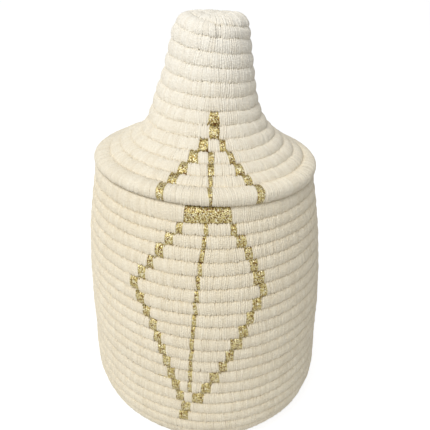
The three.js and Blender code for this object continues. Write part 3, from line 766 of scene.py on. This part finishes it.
LID_COIL = (lid_place, lid_half, lid_radius)
LID_GOLD = spans_of(CHEVRON_TOP, CHEVRON_LEFT, CHEVRON_RIGHT, CHEVRON_CENTRE)
LID_START = -2 * np.pi * (CONE_FOOT_DISTANCE / LID_PITCH - CURL_START)
cuts = np.linspace(LID_START, np.pi, LID_PIECES + 1)
for number in range(LID_PIECES):
    grid = bind(LID_COIL, cuts[number], cuts[number + 1], 51 + number, pits=0.6, covered=LID_GOLD)
    nodes = ["lid_coil", "lid_crown_knot"] if number == 0 else ["lid_coil"]
    skin(f"lid_coil_bound_{number + 1}", [grid], CREAM_YARN, "lid", nodes)

# The brim. The lid's last round is a fat roll of the same grass and yarn. It is sewn to the cone's last
# seam and rests on the rim all the way round.
BRIM_SEAT_RADIUS = 82.8
# The brim's lower edge rests on the rim and isn't sewn, yet takes 0.6 of a seam there: the darker colour
# this gives it is painted shade in the gap under the brim.
BRIM_SECTION = coil_section(peak=7.2, lower=0.4, upper=1.2, inner_peak=2.7, inner_edge=1.6, sewn=(0.6, 1))
BRIM_SAG = 0.25
BRIM_ANGLES = (-3.15, -1.9, -1.2, -0.3, 0.9, 1.9, 3.15)
BRIM_FULLNESS = (0.45, 0.5, 0.65, 1, 1, 0.8, 0.45)


def brim_frame(angle):
    """Middle, half length and direction of the brim's section, from the cone's last seam to the seat."""
    start = lid_seam(angle + 2 * np.pi)
    radius, height = (np.interp(start, LID_SHELL.distance, LID_SHELL.points[:, i]) for i in (0, 1))
    seat = mouth_rise(angle)
    run, rise = radius - BRIM_SEAT_RADIUS, height - seat
    length = np.hypot(run, rise)
    return (radius + BRIM_SEAT_RADIUS) / 2, (height + seat) / 2, length / 2, run / length, rise / length


def brim_half(angle):
    """Half the length of the brim's section."""
    return brim_frame(angle)[2]


def brim_place(angle, along, out, turn):
    """A point of the brim's roll, which hangs a little towards the seat by a parabola and is flatter at
    the left and the back."""
    middle_r, middle_z, half, along_r, along_z = brim_frame(angle)
    out = out * np.interp(angle, BRIM_ANGLES, BRIM_FULLNESS)
    along = along - BRIM_SAG * half * np.clip(1 - (along / half) ** 2, 0, 1)
    radius = middle_r + along * along_r + out * along_z
    height = middle_z + along * along_z - out * along_r
    azimuth = angle + turn
    height = np.maximum(height, mouth_rise(azimuth))
    return np.stack([radius * np.sin(azimuth), -radius * np.cos(azimuth), height], -1) + LID_PLACE


def brim_angle(row, azimuth):
    """Angle along the brim, which is a single round."""
    return 0 * row + azimuth


BRIM_COIL = (brim_place, brim_half, rim_radius)
BRIM_LEFT = Figure(((13, -25.9),), (5.6,), brim_angle, rim_radius)
BRIM_RIGHT = Figure(((13, 40.3),), (5.6,), brim_angle, rim_radius)
BRIM_CENTRE = Figure(((13, 6.4),), (2.9,), brim_angle, rim_radius)
BRIM_GOLD = spans_of(BRIM_LEFT, BRIM_RIGHT, BRIM_CENTRE)

grid = bind(BRIM_COIL, -np.pi, np.pi, 61, BRIM_SECTION, pits=0.4, covered=BRIM_GOLD)
skin("lid_brim_bound", [grid], CREAM_YARN, "lid", ["lid_brim_coil"])

# The collar. One more round of bound grass, sewn inside the brim. It drops into the mouth and keeps the
# lid from sliding off.
COLLAR_OUTER_RADIUS = 73.4
COLLAR_INNER_RADIUS = 66.4
COLLAR_TOP = 3.0
COLLAR_BOTTOM = -8.0
COLLAR_SECTION = coil_section(peak=3.4, lower=0.6, upper=0.6, inner_peak=3.4, inner_edge=0.6, sewn=(0, 1))


def collar_half(angle):
    """Half the collar's height at every angle."""
    return np.full(np.shape(angle), (COLLAR_TOP - COLLAR_BOTTOM) / 2)


def collar_radius(angle):
    """The collar's outer radius at every angle."""
    return np.full(np.shape(angle), COLLAR_OUTER_RADIUS)


def collar_place(angle, along, out, turn):
    """A point of the collar: its section stands upright on the circle halfway between its two radii."""
    radius = (COLLAR_OUTER_RADIUS + COLLAR_INNER_RADIUS) / 2 + out
    height = (COLLAR_TOP + COLLAR_BOTTOM) / 2 + along
    azimuth = angle + turn
    return np.stack([radius * np.sin(azimuth), -radius * np.cos(azimuth), height], -1) + LID_PLACE


grid = bind((collar_place, collar_half, collar_radius), -np.pi, np.pi, 71, COLLAR_SECTION)
skin("lid_collar_bound", [grid], CREAM_YARN, "lid", ["lid_collar"])

# The gold figures. In places the cream yarn gives way to a few wraps of gold yarn, cotton wound with a
# metallic film, which glitters: a long diamond with a centre line on the basket, a bar on its rim and a
# chevron on the lid. Between two patches the yarn is carried slantwise over the seam.
GOLD_WIDTH = 0.9
GOLD_LIFT = 0.1
GOLD_RELIEF = 0.5
GOLD_PITS = 0.3
# The gold's ramp over the facets: brown, dull gold, and at the top pale golds that are painted glints.
GOLD_AND_PAINTED_GLINT_STOPS = ((0.0, (0.10, 0.04, 0.013, 1)), (0.20, (0.165, 0.083, 0.026, 1)),
              (0.31, (0.37, 0.285, 0.09, 1)), (0.62, (0.50, 0.415, 0.17, 1)),
              (0.80, (0.66, 0.59, 0.34, 1)), (1.0, (0.74, 0.70, 0.52, 1)))
FACETS_IN_WRAP = (2.0, 1.3, 1)
# Brown towards the gold's seams: partly the yarn's dark joints and partly painted shade, which on the bar's
# unsewn top stands for the brim's shadow.
GOLD_SEAM_BROWN_AND_SHADE = (0.20, 0.11, 0.04, 1)
STRAND_RADIUS = 0.45
STRAND_OUT = 3.1
STRAND_DIVE = 1.3
STRAND_REACH = 2.0
STRAND_SHIFTS = (-0.012, 0.004)
STRAND_SLANT = 0.006
STRAND_SIDES = 8
STRAND_WRAPS = 6
STRAND_POINTS = 13
FLOAT_ROUND = 14
FLOAT_AZIMUTHS = (-0.18, -0.38)
FLOAT_ABOVE_SEAM = (1.0, 0.7)
BAR_SHOULDER = (0.6, 0.3, 0.25)
BAR_GROOVE = (-0.5, 0.15, -0.45)


def gold_yarn():
    """Metallic film in short facets along the yarn, which are cells of a Voronoi pattern. Each is tilted
    its own way, by a height that grows across it, and has its own gold: dull, with some brown, and some
    pale ones that are painted glints. Towards the seams it turns brown, partly the yarn's dark joints and
    partly painted shade."""
    material, tree, surface = new_material("gold yarn")
    yarn = add(tree, "ShaderNodeGroup", {"node_tree": BOUND_YARN}, Plies=1.0, Hairiness=0.5)
    wraps = add(tree, "ShaderNodeUVMap", {"uv_map": "wraps"}).outputs[0]
    multiply, subtract, dot = ({"operation": name} for name in ("MULTIPLY", "SUBTRACT", "DOT_PRODUCT"))
    place = add(tree, "ShaderNodeVectorMath", multiply, _0=wraps, _1=FACETS_IN_WRAP).outputs[0]
    facets = add(tree, "ShaderNodeTexVoronoi", {"voronoi_dimensions": "2D"}, Vector=place, Scale=1.0).outputs
    facet = add(tree, "ShaderNodeSeparateColor", _0=facets["Color"]).outputs[0]
    turned = add(tree, "ShaderNodeVectorMath", subtract, _0=facets["Color"], _1=(0.5,) * 3).outputs[0]
    inside = add(tree, "ShaderNodeVectorMath", subtract, _0=place, _1=facets["Position"]).outputs[0]
    tilt = add(tree, "ShaderNodeVectorMath", dot, _0=turned, _1=inside).outputs["Value"]
    ramp = add(tree, "ShaderNodeValToRGB", Fac=facet)
    stops = ramp.color_ramp.elements
    for position, colour in GOLD_AND_PAINTED_GLINT_STOPS[1:-1]:
        stops.new(position).color = colour
    stops[0].color, stops[-1].color = GOLD_AND_PAINTED_GLINT_STOPS[0][1], GOLD_AND_PAINTED_GLINT_STOPS[-1][1]
    # Brown by the groove: partly dark joints, partly painted shade.
    colour = mix_colour(tree, ramp_between(tree, seam_dirt_and_shade_mask(tree), 0.1, 0.6), ramp.outputs[0], GOLD_SEAM_BROWN_AND_SHADE)
    height = maths(tree, "ADD", tilt, yarn.outputs["Height"])
    bump = add(tree, "ShaderNodeBump", Height=height, Strength=0.8, Distance=0.00016)
    film = add(tree, "ShaderNodeBsdfPrincipled", Base_Color=colour, Normal=bump.outputs[0], Metallic=0.85,
               Roughness=0.3)
    tree.links.new(film.outputs[0], surface)
    return material


GOLD_YARN = gold_yarn()


def gold_patches(figure, coil, seed, section=ROUND_SECTION):
    """A short bound stretch of gold yarn for each patch of a figure."""
    return [bind(coil, low, high, seed + number, section, GOLD_WIDTH, GOLD_RELIEF, GOLD_LIFT, GOLD_PITS)
            for number, (low, high) in enumerate(figure.spans)]


def bar_section():
    """The rim's outline with a shoulder and a groove along its outer face. Each is a bell curve, given as
    its place in half rounds, its width and its height in mm."""
    section = RIM_SECTION.copy()
    outer = section[:, 1] > 0
    for place, width, height in (BAR_SHOULDER, BAR_GROOVE):
        section[:, 1] += height * np.exp(-((section[:, 0] - place) / width) ** 2) * outer
    return section


def strand(surface, start, end):
    """Gold yarn carried over a seam from one place to another: a round tube along a straight run between
    them, which dives in at both ends by an eighth power. A place is (distance along the profile,
    azimuth)."""
    share = np.linspace(0, 1, STRAND_POINTS)
    distance, azimuth = (start[i] + share * (end[i] - start[i]) for i in (0, 1))
    out = STRAND_OUT - STRAND_DIVE * (2 * share - 1) ** 8
    middle = surface(distance, out, azimuth)
    outward = surface(distance, out + 1, azimuth) - middle
    ahead = np.gradient(middle, axis=0)
    side = np.cross(ahead / np.linalg.norm(ahead, axis=1)[:, None], outward)
    ring = np.arange(STRAND_SIDES) * 2 * np.pi / STRAND_SIDES
    round_it = np.cos(ring)[:, None] * outward[:, None] + np.sin(ring)[:, None] * side[:, None]
    points = middle[:, None] + STRAND_RADIUS * round_it
    return points, (share * STRAND_WRAPS, np.arange(STRAND_SIDES + 1) / 4), np.zeros(points.shape[:2])


def carried_strands(figure, surface, seam_under, down):
    """Two strands from each patch to the next, unless the two overlap, laid slantwise over the seam
    between them. The distance along the profile grows downwards on the lid, where down is 1, and upwards
    on the body, where it is -1."""
    grids = []
    for number in range(len(figure.rounds) - 1):
        row, here, there = figure.rounds[number], figure.azimuth[number], figure.azimuth[number + 1]
        side = np.sign(there - here)
        edge, next_edge = here + side * figure.reach[number], there - side * figure.reach[number + 1]
        gap = (next_edge - edge) * side
        if gap < -figure.reach[number]:
            continue
        for shift in STRAND_SHIFTS:
            start = (seam_under(row, edge) - down * STRAND_REACH, edge + side * shift)
            landing = next_edge + side * (shift + STRAND_SLANT)
            end = (seam_under(row, next_edge) + down * STRAND_REACH, landing)
            grids.append(strand(surface, start, end))
    return grids


def basket_surface(distance, out, azimuth):
    """A point of the basket's shell, moved as the sewing has moved the coil there."""
    return BODY_SHELL.place(distance + sewing(azimuth, distance), out, azimuth)


def basket_seam(row, azimuth):
    """Distance along the profile of the seam under a round of the wall."""
    return wall_seam(wall_angle(row, azimuth))


def lid_seam_under(row, azimuth):
    """Distance along the profile of the seam under a round of the lid."""
    return lid_seam(lid_angle(row, azimuth) + 2 * np.pi)


def float_strand():
    """A strand laid along a seam of the wall, from the diamond's left edge to where the yarn is tied
    off."""
    start, end = ((basket_seam(FLOAT_ROUND, azimuth) + above, azimuth)
                  for azimuth, above in zip(FLOAT_AZIMUTHS, FLOAT_ABOVE_SEAM))
    return [strand(basket_surface, start, end)]


for name, node, grids in (
        ("gold_rim_bar_bound", "gold_rim_bar", gold_patches(RIM_BAR, RIM_COIL, 100, bar_section())),
        ("gold_left_edge_bound", "gold_diamond_left", gold_patches(DIAMOND_LEFT, WALL_COIL, 120)
         + carried_strands(DIAMOND_LEFT, basket_surface, basket_seam, -1) + float_strand()),
        ("gold_right_edge_bound", "gold_diamond_right", gold_patches(DIAMOND_RIGHT, WALL_COIL, 140)
         + carried_strands(DIAMOND_RIGHT, basket_surface, basket_seam, -1)),
        ("gold_centre_line_bound", "gold_diamond_centre", gold_patches(DIAMOND_CENTRE, WALL_COIL, 160)),
        ("gold_tip_bound", "gold_diamond_tip", gold_patches(DIAMOND_TIP, WALL_COIL, 180))):
    skin(name, grids, GOLD_YARN, "basket", [node])

for name, node, grids in (
        ("lid_gold_top_bound", "lid_gold_top", gold_patches(CHEVRON_TOP, LID_COIL, 200)),
        ("lid_gold_left_leg_bound", "lid_gold_left_leg", gold_patches(CHEVRON_LEFT, LID_COIL, 210)
         + gold_patches(BRIM_LEFT, BRIM_COIL, 215, BRIM_SECTION)
         + carried_strands(CHEVRON_LEFT, lid_surface, lid_seam_under, 1)),
        ("lid_gold_right_leg_bound", "lid_gold_right_leg", gold_patches(CHEVRON_RIGHT, LID_COIL, 220)
         + gold_patches(BRIM_RIGHT, BRIM_COIL, 225, BRIM_SECTION)
         + carried_strands(CHEVRON_RIGHT, lid_surface, lid_seam_under, 1)),
        ("lid_gold_centre_bound", "lid_gold_centre", gold_patches(CHEVRON_CENTRE, LID_COIL, 230)
         + gold_patches(BRIM_CENTRE, BRIM_COIL, 235, BRIM_SECTION))):
    skin(name, grids, GOLD_YARN, "lid", [node])

# The studio. A white floor that keeps a faint shadow, a large soft lamp up to the left, and a pale sky
# that is brighter overhead than at the horizon. Lengths are in metres from here on.
FLOOR_SIDE = 14.0
FLOOR_WHITE = (0.7, 0.7, 0.7, 1)
FLOOR_SHADOWED = (0.4, 0.4, 0.4, 1)
FLOOR_GLOW = 0.8
KEY_PLACE = Vector((-0.83, -1.32, 1.60))
KEY_AIM = Vector((0, 0, 0.16))
KEY_SIZE = 1.3
KEY_POWER = 27.6
KEY_COLOUR = (1.0, 0.985, 0.955)
SKY_AT_HORIZON = 0.315
SKY_OVERHEAD = 0.60
WHITE = (1, 1, 1, 1)


def background_rays(tree):
    """1 for the rays that show the background: the camera's, and those that metal or glass sends on to
    it."""
    paths = add(tree, "ShaderNodeLightPath").outputs
    direct = maths(tree, "MAXIMUM", paths["Is Camera Ray"], paths["Is Glossy Ray"])
    return maths(tree, "MAXIMUM", direct, paths["Is Transmission Ray"])


def white_floor():
    """Plain diffuse white. Where it is seen it is a glow and a darker diffuse white, which takes the
    shadow."""
    material, tree, surface = new_material("white floor")
    plain = add(tree, "ShaderNodeBsdfDiffuse", Color=FLOOR_WHITE).outputs[0]
    shadowed = add(tree, "ShaderNodeBsdfDiffuse", Color=FLOOR_SHADOWED).outputs[0]
    glow = add(tree, "ShaderNodeEmission", Color=WHITE, Strength=FLOOR_GLOW).outputs[0]
    shown = add(tree, "ShaderNodeAddShader", _0=shadowed, _1=glow).outputs[0]
    mixed = add(tree, "ShaderNodeMixShader", _0=background_rays(tree), _1=plain, _2=shown).outputs[0]
    tree.links.new(mixed, surface)
    return material


half_side = FLOOR_SIDE / 2
floor_corners = [(x * half_side, y * half_side, 0) for x, y in ((-1, -1), (1, -1), (1, 1), (-1, 1))]
floor_mesh = bpy.data.meshes.new("floor")
floor_mesh.from_pydata(floor_corners, [], [(0, 1, 2, 3)])
floor_mesh.materials.append(white_floor())
floor = bpy.data.objects.new("floor", floor_mesh)
bpy.context.collection.objects.link(floor)

world = bpy.data.worlds.new("pale sky")
bpy.context.scene.world = world
world.use_nodes = True
sky = world.node_tree
sky.nodes.clear()
direction = add(sky, "ShaderNodeTexCoord").outputs["Generated"]
upwards = add(sky, "ShaderNodeSeparateXYZ", Vector=direction).outputs["Z"]
glow = add(sky, "ShaderNodeMapRange", _0=upwards, _3=SKY_AT_HORIZON, _4=SKY_OVERHEAD).outputs[0]
strength = maths(sky, "MAXIMUM", glow, background_rays(sky))
light = add(sky, "ShaderNodeBackground", Color=WHITE, Strength=strength).outputs[0]
sky.links.new(light, sky.nodes.new("ShaderNodeOutputWorld").inputs["Surface"])

key = bpy.data.objects.new("key lamp", bpy.data.lights.new("key lamp", "AREA"))
key.data.energy = KEY_POWER
key.data.color = KEY_COLOUR
key.data.size = KEY_SIZE
key.location = KEY_PLACE
key.rotation_euler = (KEY_AIM - KEY_PLACE).to_track_quat("-Z", "Y").to_euler()
bpy.context.collection.objects.link(key)

# The camera. It stands in front of the basket and looks down on it, rolled a little, as the photograph
# was taken.
CAMERA_PLACE = Vector((0.0006, -0.3679, 0.3677))
CAMERA_TILT_DOWN = 0.4935
CAMERA_ROLL = 0.0527
CAMERA_LENS = 42.39
camera = bpy.data.objects.new("camera", bpy.data.cameras.new("camera"))
camera.data.sensor_width = 36
camera.data.lens = CAMERA_LENS
camera.data.clip_start = 0.01
turned = Matrix.Rotation(math.pi / 2 - CAMERA_TILT_DOWN, 3, "X") @ Matrix.Rotation(CAMERA_ROLL, 3, "Z")
camera.rotation_euler = turned.to_euler()
camera.location = CAMERA_PLACE
bpy.context.collection.objects.link(camera)
bpy.context.scene.camera = camera
bpy.context.scene.view_settings.view_transform = "Standard"
